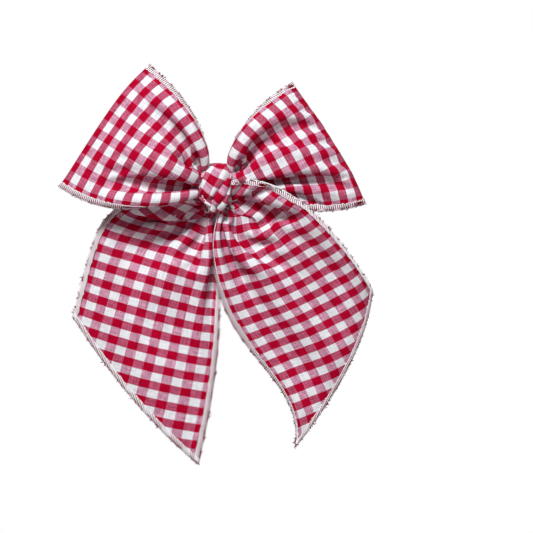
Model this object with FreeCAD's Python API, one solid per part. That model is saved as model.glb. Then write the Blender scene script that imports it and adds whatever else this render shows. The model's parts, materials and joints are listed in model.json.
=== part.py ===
"""Fabric hair bow on a sprung clip: two loops and two pointed tails gathered at a knot.

Millimetres. +X is the viewer's right, +Z is up and -Y faces the viewer. The origin is the middle of the
clip's back face, which lies against the head, straight behind the knot.
"""
import FreeCAD, Part
import math
import os

Vector = FreeCAD.Vector

# --- Driving dimensions -------------------------------------------------------------------------------
STRIP_WIDTH = 76.0  # the gingham strip that makes the loops and the tails
CLOTH = 0.8  # thickness of the cloth solids, which stand for woven cotton with its loft
EDGING_WIDTH = 2.5  # overlock stitching along every cut edge
EDGING = 1.3  # thickness of the stitched edge
SEWING_TOLERANCE = 1e-3
FOLD_ROUNDNESS = 3.5  # how blunt a loop's folded end is
LOOP_SAMPLES = 37  # points of a surface along a loop, along a tail and across the strip
TAIL_SAMPLES = 15
STRIP_SAMPLES = 9
KNOT_PINCH = 0.3  # the share of a loop's opening that is left at the knot
PINCH_REACH = 0.55  # how far out, as a share of a loop, that pinch lasts
EDGE_GAP = 0.3  # between a cloth solid and its edging solid

KNOT_Y = -12.6  # depth of the knot's axis, which runs along X
KNOT_HALF_WIDTH = 8.0
KNOT_HALF_DEPTH = 10.8
KNOT_HALF_HEIGHT = 12.0
KNOT_SQUARENESS = 2.6  # 2 is an ellipse
KNOT_WALL = 0.9
KNOT_ROUNDING = 1.6  # how much the knot draws in at its two sides
KNOT_ROUNDING_POWER = 4  # a high power keeps the middle straight
KNOT_RING = 1.2  # width of the stitched edge at each side of the knot
KNOT_RING_PROUD = 0.3
KNOT_RING_GAP = 0.1
KNOT_SECTIONS = 9
TUCK_ROOT = Vector(2.5, -18.5, -5.0)  # the wrap's pleated end, tucked out below the knot
TUCK_TIP = Vector(-1.0, -21.0, -13.0)
TUCK_ROOT_RADIUS = 3.4
TUCK_TIP_RADIUS = 1.0

GATHER_Y = -14.0  # the pinched middle of the strip, inside the knot
GATHER_HALF_DEPTH = 6.7
GATHER_HALF_HEIGHT = 8.0
GATHER_HALF_WIDTH = 7.4
GATHER_PLEATS = 14
GATHER_PLEAT_DEPTH = 0.5
OVAL_POINTS = 32
THREAD_RADIUS = 0.25
THREAD_TURNS = 6
THREAD_PITCH = 0.75
THREAD_GAP = 0.03  # between the thread and what it lies on
STITCHES = 6  # hand stitches that close the wrap
STITCH_LENGTH = 1.8
STITCH_PITCH = 1.7
STITCH_SLANT = 0.25
STITCH_PLACE = math.radians(50)  # angle round the knot, from its top towards its back

CLIP_WIDTH = 8.0
PLATE = 0.8  # the clip's sheet steel
PIVOT_X = -13.0
PIVOT_Y = -3.6
JAW_TIP_X = 26.0
HANDLE_TIP_X = -27.0
TIP_GAP = 0.75  # between the arms at the jaw's tip
FIXED_INNER_AT_PIVOT = -5.9  # the front arm's inner face, level with the pivot
HANDLE_RISE = 4.4  # how far the front arm's handle lifts towards the bow
EAR_RADIUS = 2.1
EAR_SHEET = 0.7
EAR_CLEARANCE = 0.12  # between the outer and the inner ears
PIN_RADIUS = 0.9
PIN_RUNNING_CLEARANCE = 0.05
PIN_HEAD_RADIUS = 1.5
PIN_HEAD = 0.5
TEETH = 4
TOOTH_FROM_TIP = 11.0
TOOTH_PITCH = 1.6
TOOTH_HALF_BASE = 0.5
TOOTH_DEPTH = 0.5
TOOTH_WIDTH = 0.6 * CLIP_WIDTH
OVERLAP = 0.2  # how far joined shapes run into each other
WIRE_RADIUS = 0.3
COIL_TURNS = 3.5
COIL_STEPS = 16  # straight pieces in a turn
COIL_RADIUS = 1.45
COIL_GAP = 0.1  # between neighbouring turns, and between a leg and its arm
LEG_LENGTH = 8.5
LINING = 0.45  # grosgrain ribbon glued to the front arm
LINING_WIDTH = 0.95 * CLIP_WIDTH
LINING_GAP = 0.02
LINING_START_X = -9.0
LINING_RETURN = 9.0  # how far it comes back along the inner face from the tip
GLUE_HALF_LENGTH = 6.5
GLUE_WIDTH = 6.4
GLUE_DEPTH = 4.0  # how far it rises up behind the gather's axis
GLUE_GAP = 0.08

# --- The four cloth panels ----------------------------------------------------------------------------
# Each is a Bezier patch. A row of control points runs across the strip, from its first cut edge to its
# second, and the rows run from the knot outwards. A control point is (x, y, z).
LEFT_LOOP = [
    [(-11.8, -15.5, -4.2), (-12.2, -15.5, 8.5), (-8.6, -15.5, 13.2)],
    [(-46.0, -20.0, -18.0), (-34.0, -24.0, 20.0), (-3.5, -21.0, 38.0)],
    [(-80.0, -12.0, 2.0), (-66.0, -14.0, 42.0), (-34.5, -13.0, 63.0)],
]
LEFT_LOOP_OPENING = 7.5  # half the space between the loop's two layers

RIGHT_LOOP = [
    [(11.2, -12.8, -3.2), (11.8, -12.8, 8.5), (8.6, -12.8, 13.2)],
    [(42.0, -12.0, -16.0), (34.0, -15.0, 18.0), (10.0, -17.0, 38.5)],
    [(73.0, -9.5, -6.0), (62.0, -11.0, 28.0), (38.0, -12.0, 53.5)],
]
RIGHT_LOOP_OPENING = 5.0

LEFT_TAIL = [
    [(-10.6, -8.0, -7.5), (-10.5, -9.0, -16.5), (-2.0, -9.0, -14.8)],
    [(-52.0, -9.5, 3.0), (-25.0, -12.0, -25.0), (1.0, -9.0, -50.0)],
    [(-68.0, -5.0, -28.0), (-38.0, -7.0, -68.0), (3.5, -5.0, -88.0)],
    [(-73.5, -1.6, -64.5), (-48.0, -1.6, -106.0), (-10.0, -1.6, -139.0)],
]

RIGHT_TAIL = [
    [(1.5, -15.0, -15.0), (14.5, -18.0, -14.0), (11.0, -20.3, 4.5)],
    [(-6.0, -12.0, -45.0), (22.0, -22.0, -30.0), (38.0, -26.5, 7.0)],
    [(27.0, -6.0, -88.0), (44.0, -10.0, -60.0), (60.0, -17.0, -20.0)],
    [(40.0, -1.6, -130.0), (68.0, -1.6, -103.0), (79.0, -1.6, -50.0)],
]


def bernstein(order, i, t):
    return math.comb(order, i) * t**i * (1.0 - t) ** (order - i)


def bezier(rows, out, across):
    """The patch's point at out (0 at the knot, 1 at the far end) and across the strip."""
    point = Vector()
    for i, row in enumerate(rows):
        for j, control in enumerate(row):
            weight = bernstein(len(rows) - 1, i, out) * bernstein(len(row) - 1, j, across)
            point += Vector(*control) * weight
    return point


def smooth(t):
    t = min(1.0, max(0.0, t))
    return t * t * (3.0 - 2.0 * t)


def loop_surface(rows, opening):
    """A strip that leaves the knot, folds over at its far end and comes back behind itself."""

    def point(along, across):
        side = 1.0 - 2.0 * along  # 1 where the front layer leaves the knot, 0 at the fold
        out = math.cos(math.pi * side / 2)
        pinch = KNOT_PINCH + (1.0 - KNOT_PINCH) * smooth(out / PINCH_REACH)
        apart = opening * pinch * math.tanh(FOLD_ROUNDNESS * side) / math.tanh(FOLD_ROUNDNESS)
        return bezier(rows, out, across) - Vector(0.0, apart, 0.0)

    return point


def tail_surface(rows):
    def point(along, across):
        return bezier(rows, along, across)

    return point


def spaced(low, high, count):
    return [low + (high - low) * i / (count - 1) for i in range(count)]


def normal(surface, along, across):
    step = 1e-4
    tangent_a = surface(along + step, across) - surface(along - step, across)
    tangent_b = surface(along, across + step) - surface(along, across - step)
    return tangent_a.cross(tangent_b).normalize()


def skin(surface, offset, alongs, acrosses):
    """The surface through a grid of points, moved by offset along its normal."""
    grid = [[surface(a, b) + normal(surface, a, b) * offset for b in acrosses] for a in alongs]
    face = Part.BSplineSurface()
    face.interpolate(grid)
    return face


def borders(face):
    u_low, u_high, v_low, v_high = face.bounds()
    curves = (face.uIso(u_low), face.uIso(u_high), face.vIso(v_low), face.vIso(v_high))
    return [curve.toShape() for curve in curves]


def sheet(surface, thickness, along, across, along_count, across_count):
    """A closed solid: the surface between two limits each way, thickened to both sides."""
    alongs, acrosses = spaced(*along, along_count), spaced(*across, across_count)
    front = skin(surface, thickness / 2, alongs, acrosses)
    back = skin(surface, -thickness / 2, alongs, acrosses)
    sides = [Part.makeRuledSurface(a, b) for a, b in zip(borders(front), borders(back))]
    shell = Part.makeShell([front.toShape(), back.toShape()] + sides)
    shell.sewShape(SEWING_TOLERANCE)
    return closed(Part.makeSolid(shell))


def closed(solid):
    if solid.Volume < 0:
        solid.reverse()
    if not solid.isValid():
        solid.fix(1e-5, 1e-5, 1e-4)
    return solid


def loop_panel(rows, opening):
    """The loop's cloth and the edging along its two cut edges."""
    surface = loop_surface(rows, opening)
    edge = EDGING_WIDTH / STRIP_WIDTH
    gap = EDGE_GAP / STRIP_WIDTH
    middle = (edge + gap, 1.0 - edge - gap)
    cloth = sheet(surface, CLOTH, (0.0, 1.0), middle, LOOP_SAMPLES, STRIP_SAMPLES)
    edging = [
        sheet(surface, EDGING, (0.0, 1.0), (0.0, edge), LOOP_SAMPLES, 3),
        sheet(surface, EDGING, (0.0, 1.0), (1.0 - edge, 1.0), LOOP_SAMPLES, 3),
    ]
    return cloth, Part.makeCompound(edging)


def tail_panel(rows):
    """The tail's cloth and the edging along its two sides and its slanted end."""
    surface = tail_surface(rows)
    side = EDGING_WIDTH / STRIP_WIDTH
    side_gap = EDGE_GAP / STRIP_WIDTH
    length = (surface(1.0, 0.5) - surface(0.0, 0.5)).Length
    end = EDGING_WIDTH / length
    end_gap = EDGE_GAP / length
    main = (0.0, 1.0 - end - end_gap)
    middle = (side + side_gap, 1.0 - side - side_gap)
    cloth = sheet(surface, CLOTH, main, middle, TAIL_SAMPLES, STRIP_SAMPLES)
    edging = [
        sheet(surface, EDGING, main, (0.0, side), TAIL_SAMPLES, 3),
        sheet(surface, EDGING, main, (1.0 - side, 1.0), TAIL_SAMPLES, 3),
        sheet(surface, EDGING, (1.0 - end, 1.0), (0.0, 1.0), 3, STRIP_SAMPLES),
    ]
    return cloth, Part.makeCompound(edging)


# --- The knot -----------------------------------------------------------------------------------------
def rim(angle, half_depth, half_height, squareness):
    """A point of an upright rounded rectangle in the plane across X. Angle 0 is its top, 90 its back."""
    power = 2.0 / squareness
    deep, high = math.sin(angle), math.cos(angle)
    return Vector(
        0.0,
        math.copysign(abs(deep) ** power, deep) * half_depth,
        math.copysign(abs(high) ** power, high) * half_height,
    )


def oval(x, y, half_depth, half_height, squareness):
    centre = Vector(x, y, 0.0)
    angles = [2 * math.pi * i / OVAL_POINTS for i in range(OVAL_POINTS)]
    curve = Part.BSplineCurve()
    points = [centre + rim(angle, half_depth, half_height, squareness) for angle in angles]
    curve.interpolate(points, PeriodicFlag=True)
    return Part.Wire([curve.toShape()])


def knot_oval(x, wall):
    """The knot's outline at x, less a wall. It draws in at its front, top and bottom towards its sides."""
    inset = KNOT_ROUNDING * min(1.0, abs(x) / KNOT_HALF_WIDTH) ** KNOT_ROUNDING_POWER
    depth = KNOT_HALF_DEPTH - inset / 2 - wall
    height = KNOT_HALF_HEIGHT - inset - wall
    return oval(x, KNOT_Y + inset / 2, depth, height, KNOT_SQUARENESS)


def drum(half_width, wall):
    sections = [knot_oval(x, wall) for x in spaced(-half_width, half_width, KNOT_SECTIONS)]
    return Part.makeLoft(sections, True, False)


def knot_wrap():
    length = (TUCK_TIP - TUCK_ROOT).Length
    tuck = Part.makeCone(TUCK_ROOT_RADIUS, TUCK_TIP_RADIUS, length, TUCK_ROOT, TUCK_TIP - TUCK_ROOT)
    hole = drum(KNOT_HALF_WIDTH + KNOT_WALL, KNOT_WALL)
    return closed(drum(KNOT_HALF_WIDTH, 0.0).fuse(tuck).cut(hole).removeSplitter())


def knot_wrap_edging():
    """The wrap's stitched edges, one ring at each side of the knot."""
    rings = []
    for side in (-1, 1):
        x = side * (KNOT_HALF_WIDTH + KNOT_RING_GAP)
        outer = Part.Face(knot_oval(x, -KNOT_RING_PROUD))
        inner = Part.Face(knot_oval(x, KNOT_WALL))
        rings.append(outer.cut(inner).extrude(Vector(side * KNOT_RING, 0, 0)))
    return Part.makeCompound(rings)


def gather_outline(x, grow):
    """The pleated outline of the pinched strip."""
    points = []
    count = GATHER_PLEATS * 4
    for i in range(count):
        angle = 2 * math.pi * i / count
        wave = grow + GATHER_PLEAT_DEPTH * math.cos(GATHER_PLEATS * angle)
        depth, height = GATHER_HALF_DEPTH + wave, GATHER_HALF_HEIGHT + wave
        points.append(Vector(x, GATHER_Y + depth * math.sin(angle), height * math.cos(angle)))
    curve = Part.BSplineCurve()
    curve.interpolate(points, PeriodicFlag=True)
    return Part.Wire([curve.toShape()])


def waist_gather():
    face = Part.Face(gather_outline(-GATHER_HALF_WIDTH, 0.0))
    return closed(face.extrude(Vector(2 * GATHER_HALF_WIDTH, 0, 0)))


def binding_thread():
    """Turns of strong thread that pull the strip in, just outside its pleats."""
    turns = []
    reach = GATHER_PLEAT_DEPTH + THREAD_RADIUS + THREAD_GAP
    for i in range(THREAD_TURNS):
        x = (i - (THREAD_TURNS - 1) / 2) * THREAD_PITCH
        path = oval(x, GATHER_Y, GATHER_HALF_DEPTH + reach, GATHER_HALF_HEIGHT + reach, 2.0)
        start = Vector(x, GATHER_Y, GATHER_HALF_HEIGHT + reach)
        section = Part.Wire([Part.makeCircle(THREAD_RADIUS, start, Vector(0, 1, 0))])
        turns.append(closed(path.makePipeShell([section], True, True)))
    return Part.makeCompound(turns)


# --- The clip -----------------------------------------------------------------------------------------
def extruded(points, width):
    """A solid of one width, centred on the plane of the bow's middle, from a closed x-y outline."""
    outline = [Vector(x, y, -width / 2) for x, y in points]
    face = Part.Face(Part.makePolygon(outline + outline[:1]))
    return face.extrude(Vector(0, 0, width))


def fixed_inner(x):
    """Depth of the front arm's inner face along the jaw."""
    tip = -(PLATE + TIP_GAP)
    share = (JAW_TIP_X - x) / (JAW_TIP_X - PIVOT_X)
    return tip + (FIXED_INNER_AT_PIVOT - tip) * share


def rounded_ends(arm, low_x, high_x):
    """Trims an arm so that both of its ends are round when seen from the front."""
    radius = CLIP_WIDTH / 2
    front = 2 * KNOT_Y
    ends = (low_x + radius, high_x - radius)
    keep = Part.makeBox(ends[1] - ends[0], -front, CLIP_WIDTH, Vector(ends[0], front, -radius))
    for x in ends:
        keep = keep.fuse(Part.makeCylinder(radius, -front, Vector(x, front, 0), Vector(0, 1, 0)))
    return arm.common(keep)


def ears(inner_z, plate_y, hole_radius):
    """Two side plates round the pivot, joined to an arm at plate_y."""
    pair = []
    for side in (-1, 1):
        z = inner_z if side > 0 else -inner_z - EAR_SHEET
        disc = Part.makeCylinder(EAR_RADIUS, EAR_SHEET, Vector(PIVOT_X, PIVOT_Y, z))
        low, high = sorted((PIVOT_Y, plate_y))
        corner = Vector(PIVOT_X - EAR_RADIUS, low, z)
        web = Part.makeBox(2 * EAR_RADIUS, high - low, EAR_SHEET, corner)
        hole = Part.makeCylinder(hole_radius, EAR_SHEET, Vector(PIVOT_X, PIVOT_Y, z))
        pair.append(disc.fuse(web).cut(hole))
    return pair


def teeth():
    """Ridges across the flat arm's inner face that bite into hair."""
    row = []
    for i in range(TEETH):
        x = JAW_TIP_X - TOOTH_FROM_TIP - i * TOOTH_PITCH
        base = -PLATE + OVERLAP
        points = [(x - TOOTH_HALF_BASE, base), (x + TOOTH_HALF_BASE, base), (x, -PLATE - TOOTH_DEPTH)]
        row.append(extruded(points, TOOTH_WIDTH))
    return row


def clip_fixed_arm():
    """The front arm, which the bow is bound to."""
    root = FIXED_INNER_AT_PIVOT
    tip = fixed_inner(JAW_TIP_X)
    handle = root - HANDLE_RISE
    inner = [(JAW_TIP_X, tip), (PIVOT_X, root), (HANDLE_TIP_X, handle)]
    outer = [(x, y - PLATE) for x, y in reversed(inner)]
    arm = rounded_ends(extruded(inner + outer, CLIP_WIDTH), HANDLE_TIP_X, JAW_TIP_X)
    inner_z = CLIP_WIDTH / 2 - EAR_SHEET
    return closed(arm.multiFuse(ears(inner_z, root - OVERLAP, PIN_RADIUS)).removeSplitter())


def clip_moving_arm():
    """The flat arm that slides under the hair and lies against the head."""
    low = HANDLE_TIP_X
    arm = Part.makeBox(JAW_TIP_X - low, PLATE, CLIP_WIDTH, Vector(low, -PLATE, -CLIP_WIDTH / 2))
    arm = rounded_ends(arm, low, JAW_TIP_X)
    inner_z = CLIP_WIDTH / 2 - 2 * EAR_SHEET - EAR_CLEARANCE
    hole = PIN_RADIUS + PIN_RUNNING_CLEARANCE
    return closed(arm.multiFuse(ears(inner_z, -PLATE / 2, hole) + teeth()).removeSplitter())


def clip_pivot_pin():
    half = CLIP_WIDTH / 2
    pin = Part.makeCylinder(PIN_RADIUS, CLIP_WIDTH, Vector(PIVOT_X, PIVOT_Y, -half))
    heads = [
        Part.makeCylinder(PIN_HEAD_RADIUS, PIN_HEAD, Vector(PIVOT_X, PIVOT_Y, half)),
        Part.makeCylinder(PIN_HEAD_RADIUS, PIN_HEAD, Vector(PIVOT_X, PIVOT_Y, -half - PIN_HEAD)),
    ]
    return closed(pin.multiFuse(heads).removeSplitter())


def clip_spring():
    """A torsion spring round the pin, with one leg under each handle."""
    length = (2 * WIRE_RADIUS + COIL_GAP) * COIL_TURNS
    leg_x = PIVOT_X - LEG_LENGTH
    rise = HANDLE_RISE * LEG_LENGTH / (PIVOT_X - HANDLE_TIP_X)
    points = [Vector(leg_x, -PLATE - WIRE_RADIUS - COIL_GAP, -length / 2)]
    steps = round(COIL_TURNS * COIL_STEPS)
    for i in range(steps + 1):
        angle = math.pi / 2 - 2 * math.pi * COIL_TURNS * i / steps
        x = PIVOT_X + COIL_RADIUS * math.cos(angle)
        y = PIVOT_Y + COIL_RADIUS * math.sin(angle)
        points.append(Vector(x, y, length * (i / steps - 0.5)))
    front_leg_y = FIXED_INNER_AT_PIVOT - rise + WIRE_RADIUS + 2.5 * COIL_GAP
    points.append(Vector(leg_x, front_leg_y, length / 2))
    section = Part.Wire([Part.makeCircle(WIRE_RADIUS, points[0], points[1] - points[0])])
    mitred = 1
    return closed(Part.makePolygon(points).makePipeShell([section], True, False, mitred))


def clip_lining():
    """Grosgrain ribbon on the front arm's outer face, turned round its tip."""

    def outer_face(x):
        return fixed_inner(x) - PLATE - LINING_GAP

    def inner_face(x):
        return fixed_inner(x) + LINING_GAP

    tip, start, back = JAW_TIP_X, LINING_START_X, JAW_TIP_X - LINING_RETURN
    near = tip + LINING_GAP
    far = near + LINING
    outline = [
        (start, outer_face(start)),
        (near, outer_face(tip)),
        (near, inner_face(tip)),
        (back, inner_face(back)),
        (back, inner_face(back) + LINING),
        (far, inner_face(tip) + LINING),
        (far, outer_face(tip) - LINING),
        (start, outer_face(start) - LINING),
    ]
    return closed(extruded(outline, LINING_WIDTH))


def glue_pad(gather, thread):
    """The bead of glue that beds the gathered strip on the lined arm."""
    front = GATHER_Y + GLUE_DEPTH
    outline = [(-GLUE_HALF_LENGTH, front), (GLUE_HALF_LENGTH, front)]
    for x in (GLUE_HALF_LENGTH, -GLUE_HALF_LENGTH):
        outline.append((x, fixed_inner(x) - PLATE - LINING - GLUE_GAP))
    return closed(extruded(outline, GLUE_WIDTH).cut(gather).cut(thread))


def knot_stitches():
    """Hand stitches that close the wrap, up behind the knot."""
    stitches = []
    reach = THREAD_RADIUS + THREAD_GAP
    depth, height = KNOT_HALF_DEPTH + reach, KNOT_HALF_HEIGHT + reach
    middle = rim(STITCH_PLACE, depth, height, KNOT_SQUARENESS)
    before = rim(STITCH_PLACE - 0.05, depth, height, KNOT_SQUARENESS)
    along = (middle - before).normalize()
    for i in range(STITCHES):
        x = (i - (STITCHES - 1) / 2) * STITCH_PITCH
        start = Vector(x, KNOT_Y, 0) + middle - along * (STITCH_LENGTH / 2)
        direction = along + Vector(STITCH_SLANT, 0, 0)
        stitches.append(Part.makeCylinder(THREAD_RADIUS, STITCH_LENGTH, start, direction))
    return Part.makeCompound(stitches)


def export(shapes):
    os.makedirs("parts", exist_ok=True)
    for name, shape in shapes.items():
        shape.exportStep(os.path.join("parts", name + ".step"))
        print(name, "valid" if shape.isValid() else "INVALID", len(shape.Solids), round(shape.Volume, 1))


def main():
    shapes = {}
    for name, rows, opening in (
        ("left_loop", LEFT_LOOP, LEFT_LOOP_OPENING),
        ("right_loop", RIGHT_LOOP, RIGHT_LOOP_OPENING),
    ):
        shapes[name], shapes[name + "_edging"] = loop_panel(rows, opening)
    for name, rows in (("left_tail", LEFT_TAIL), ("right_tail", RIGHT_TAIL)):
        shapes[name], shapes[name + "_edging"] = tail_panel(rows)
    shapes["knot_wrap"] = knot_wrap()
    shapes["knot_wrap_edging"] = knot_wrap_edging()
    shapes["knot_stitches"] = knot_stitches()
    shapes["waist_gather"] = waist_gather()
    shapes["binding_thread"] = binding_thread()
    shapes["clip_fixed_arm"] = clip_fixed_arm()
    shapes["clip_moving_arm"] = clip_moving_arm()
    shapes["clip_pivot_pin"] = clip_pivot_pin()
    shapes["clip_spring"] = clip_spring()
    shapes["clip_lining"] = clip_lining()
    shapes["glue_pad"] = glue_pad(shapes["waist_gather"], shapes["binding_thread"])
    export(shapes)


main()
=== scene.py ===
"""The looks of a gathered gingham hair bow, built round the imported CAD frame.

Lengths here are millimetres until a mesh is made. +X is the viewer's right, +Z is up and -Y faces the viewer.
"""

import json
import math

import bpy
import numpy as np
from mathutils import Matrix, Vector


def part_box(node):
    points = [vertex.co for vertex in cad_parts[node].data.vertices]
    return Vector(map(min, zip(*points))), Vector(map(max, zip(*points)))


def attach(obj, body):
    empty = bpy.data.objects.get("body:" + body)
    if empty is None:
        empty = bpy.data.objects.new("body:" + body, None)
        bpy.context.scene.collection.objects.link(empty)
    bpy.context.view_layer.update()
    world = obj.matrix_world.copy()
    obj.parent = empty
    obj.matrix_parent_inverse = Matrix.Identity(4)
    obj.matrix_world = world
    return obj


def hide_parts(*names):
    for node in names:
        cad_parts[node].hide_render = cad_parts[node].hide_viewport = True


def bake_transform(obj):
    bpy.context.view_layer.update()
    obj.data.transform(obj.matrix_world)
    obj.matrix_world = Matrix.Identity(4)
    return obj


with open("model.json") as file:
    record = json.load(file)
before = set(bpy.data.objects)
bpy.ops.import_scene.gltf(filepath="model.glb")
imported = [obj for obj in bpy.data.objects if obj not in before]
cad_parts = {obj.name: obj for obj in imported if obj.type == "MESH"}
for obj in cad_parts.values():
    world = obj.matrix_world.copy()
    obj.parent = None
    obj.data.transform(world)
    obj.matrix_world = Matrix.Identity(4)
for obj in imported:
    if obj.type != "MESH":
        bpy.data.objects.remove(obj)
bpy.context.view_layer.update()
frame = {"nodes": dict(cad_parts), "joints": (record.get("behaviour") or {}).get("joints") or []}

MM = 0.001
STRIP_WIDTH = 76.0
CLOTH = 0.36  # how thick the cloth is
COLUMNS = 15  # checks across the strip
CHECK_ACROSS = STRIP_WIDTH / COLUMNS
CHECK_ALONG = 4.2
STITCH_PITCH = 1.1
STITCH_WIDTH = 3.0
THREAD = 0.19  # radius of the overlock thread
GRID = 1.5  # spacing of the cloth's points
ROUNDS = 500  # of the cloth's relaxation
RANDOM = np.random.default_rng(7)


# --- Curves and patches ---
def bezier(points, t):
    points = np.array(points, float)
    order = len(points) - 1
    weights = [math.comb(order, i) * t**i * (1 - t) ** (order - i) for i in range(order + 1)]
    return np.stack(weights, 1) @ points


def run(points):
    """A polyline's length up to each of its points."""
    return np.concatenate([[0], np.cumsum(np.linalg.norm(np.diff(points, axis=0), axis=1))])


def read_along(path, values, at):
    """Values given at the points of a path, read at shares of the path's length."""
    length = run(path)
    return np.stack([np.interp(at * length[-1], length, values[:, k]) for k in range(values.shape[1])], 1)


def resample(points, at):
    """A polyline's points at the given shares of its length."""
    return read_along(points, points, at)


def even(control, count):
    """A Bezier curve sampled at even steps of its length."""
    return resample(bezier(control, np.linspace(0, 1, 400)), np.linspace(0, 1, count))


def coons(root, end, low, high):
    """A patch between four border curves. Rows run from root to end, columns from low to high."""
    s = np.linspace(0, 1, len(low))[:, None, None]
    t = np.linspace(0, 1, len(root))[None, :, None]
    ruled = (1 - s) * root[None] + s * end[None] + (1 - t) * low[:, None] + t * high[:, None]
    corners = (1 - s) * ((1 - t) * root[0] + t * root[-1]) + s * ((1 - t) * end[0] + t * end[-1])
    return ruled - corners


def unit(vectors):
    return vectors / np.maximum(np.linalg.norm(vectors, axis=-1, keepdims=True), 1e-9)


def smooth(t):
    """A soft step from 0 to 1 as t goes from 0 to 1."""
    t = np.clip(t, 0, 1)
    return t * t * (3 - 2 * t)


def profile(knots, t):
    """A smooth curve through (t, value) pairs, level at each of them."""
    ts, vs = np.array(knots, float).T
    i = np.clip(np.searchsorted(ts, t) - 1, 0, len(ts) - 2)
    return vs[i] + (vs[i + 1] - vs[i]) * smooth((t - ts[i]) / (ts[i + 1] - ts[i]))


def refine(grid):
    """Twice as many points each way, through the old ones, on smooth curves."""
    for axis in (0, 1):
        g = np.moveaxis(grid, axis, 0)
        before = np.concatenate([2 * g[:1] - g[1:2], g[:-2]])
        after = np.concatenate([g[2:], 2 * g[-1:] - g[-2:-1]])
        between = (9 * (g[:-1] + g[1:]) - before - after) / 16
        out = np.empty((2 * len(g) - 1,) + g.shape[1:])
        out[::2], out[1::2] = g, between
        grid = np.moveaxis(out, 0, axis)
    return grid


# --- Cloth that keeps its length ---
LINK_KINDS = (
    # steps along, steps across, axis and size of the groups, stiffness, whether it only resists a bend
    (1, 0, 0, 1, 1.0, False),
    (0, 1, 1, 1, 1.0, False),
    (1, 1, 0, 1, 0.4, False),
    (1, -1, 0, 1, 0.4, False),
    (2, 0, 0, 2, 0.2, True),
    (0, 2, 1, 2, 0.2, True),
    (4, 0, 0, 4, 0.05, True),
    (0, 4, 1, 4, 0.05, True),
)
BEND_SLACK = 0.985  # the share of its length that a bend link may shrink to
PUSHED = 0.7  # the share of the rounds in which the sheet is pushed outwards


def links(flat, gather):
    """Groups of stretch, shear and bend links with their rest lengths. A group's links share no point."""
    n, m = flat.shape[:2]
    index = np.arange(n * m).reshape(n, m)
    points = flat.reshape(-1, 2)
    gather = np.repeat(gather, m)
    made = []
    for di, dj, axis, block, stiffness, bend in LINK_KINDS:
        first = index[: n - di, max(0, -dj) : m - max(0, dj)]
        second = index[di:, max(0, dj) : m + min(0, dj)]
        along = (np.arange(first.shape[axis]) // block) % 2
        for parity in (0, 1):
            a = np.compress(along == parity, first, axis).ravel()
            b = np.compress(along == parity, second, axis).ravel()
            gap = points[b] - points[a]
            gap[:, 1] *= (gather[a] + gather[b]) / 2
            made.append((a, b, np.linalg.norm(gap, axis=1), stiffness, bend))
    return made


def settle(cloth, rounds):
    """Lets a sheet find a shape that keeps its lengths, between its limits in depth."""
    goal = cloth["start"].reshape(-1, 3)
    x = goal.copy()
    grip = cloth["grip"].reshape(-1, 1)
    free = (grip[:, 0] < 1).astype(float)
    made = links(cloth["flat"], cloth["gather"])
    nearest, farthest, push = (cloth[k].ravel() for k in ("nearest", "farthest", "push"))
    for step in range(rounds):
        x[:, 1] += push * free * (step < PUSHED * rounds)
        for a, b, rest, stiffness, bend in made:
            gap = x[b] - x[a]
            length = np.linalg.norm(gap, axis=1)
            off = np.minimum(length - BEND_SLACK * rest, 0) if bend else length - rest
            weight = np.maximum(free[a] + free[b], 1)
            move = gap * (stiffness * off / np.maximum(length, 1e-6) / weight)[:, None]
            x[a] += move * free[a][:, None]
            x[b] -= move * free[b][:, None]
        x += (goal - x) * grip
        x[:, 1] = np.clip(x[:, 1], nearest, farthest)
    return x.reshape(cloth["start"].shape)


# --- Panels ---
PLEAT_SHARE = 0.45  # how far a pleat swings, as a share of the height of a straight zigzag
MAX_PLEAT = 5.2
ROOT_FRONT = -22.0  # how far forward cloth may stand where it leaves the knot
ROOT_FLARE = 60.0  # how much further it may, per share of its length
# How firmly cloth is held to its first place in each round: inside the knot, along a cut edge, along a loop's
# fold and at a tail's end.
ROOT_GRIP, EDGE_GRIP, FOLD_GRIP, TIP_GRIP = 1.0, 0.3, 0.2, 0.4
# How far it is pushed back in each round: a loop's front and back layers, a tail, and a tail's hollow too.
FRONT_PUSH, BACK_PUSH, TAIL_PUSH, HOLLOW_PUSH = -0.012, 0.006, -0.006, 0.03
LAYER_CLEAR = 0.7  # how far each layer of a loop stays off its middle
FOLD_ROUNDNESS = 3.5
TAIL_SLOPE = 18.0  # how much further back a tail may reach, per share of its length
WALL = -0.5  # the furthest back that any of a tail may be


def fold_depth(base, flat, pleats):
    """How deep the pleats must be, row by row, to take up the width the strip has to spare."""
    t = np.linspace(0, 1, base.shape[1])
    width = np.linalg.norm(np.diff(base, axis=1), axis=2).sum(1)
    cloth = np.linalg.norm(np.diff(flat, axis=1), axis=2).sum(1)
    waves = len(pleats) - 1
    deep = PLEAT_SHARE * np.sqrt(np.maximum((cloth / waves) ** 2 - (width / waves) ** 2, 0.0))
    return np.minimum(deep, MAX_PLEAT)[:, None] * profile(pleats, t)[None]


def rows_for(length):
    return 2 * round(length / GRID / 2)


def strip_columns():
    return 2 * round(STRIP_WIDTH / GRID / 2) + 1


def lengths(quoted, t):
    """Cloth length at each column, from its values at the strip's two edges and middle."""
    return bezier([[q] for q in (quoted[0], 2 * quoted[1] - (quoted[0] + quoted[2]) / 2, quoted[2])], t)[:, 0]


def calm(grid, base, start, rounds):
    """Smooths away small ripples in the outer part of a tail, where it hangs free of the knot."""
    offset = grid - base
    weight = 0.5 * smooth((np.linspace(0, 1, len(grid)) - start) / 0.3)[1:-1, None, None]
    for _ in range(rounds):
        average = (offset[:-2, 1:-1] + offset[2:, 1:-1] + offset[1:-1, :-2] + offset[1:-1, 2:]) / 4
        offset[1:-1, 1:-1] += weight * (average - offset[1:-1, 1:-1])
    return base + offset


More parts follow.
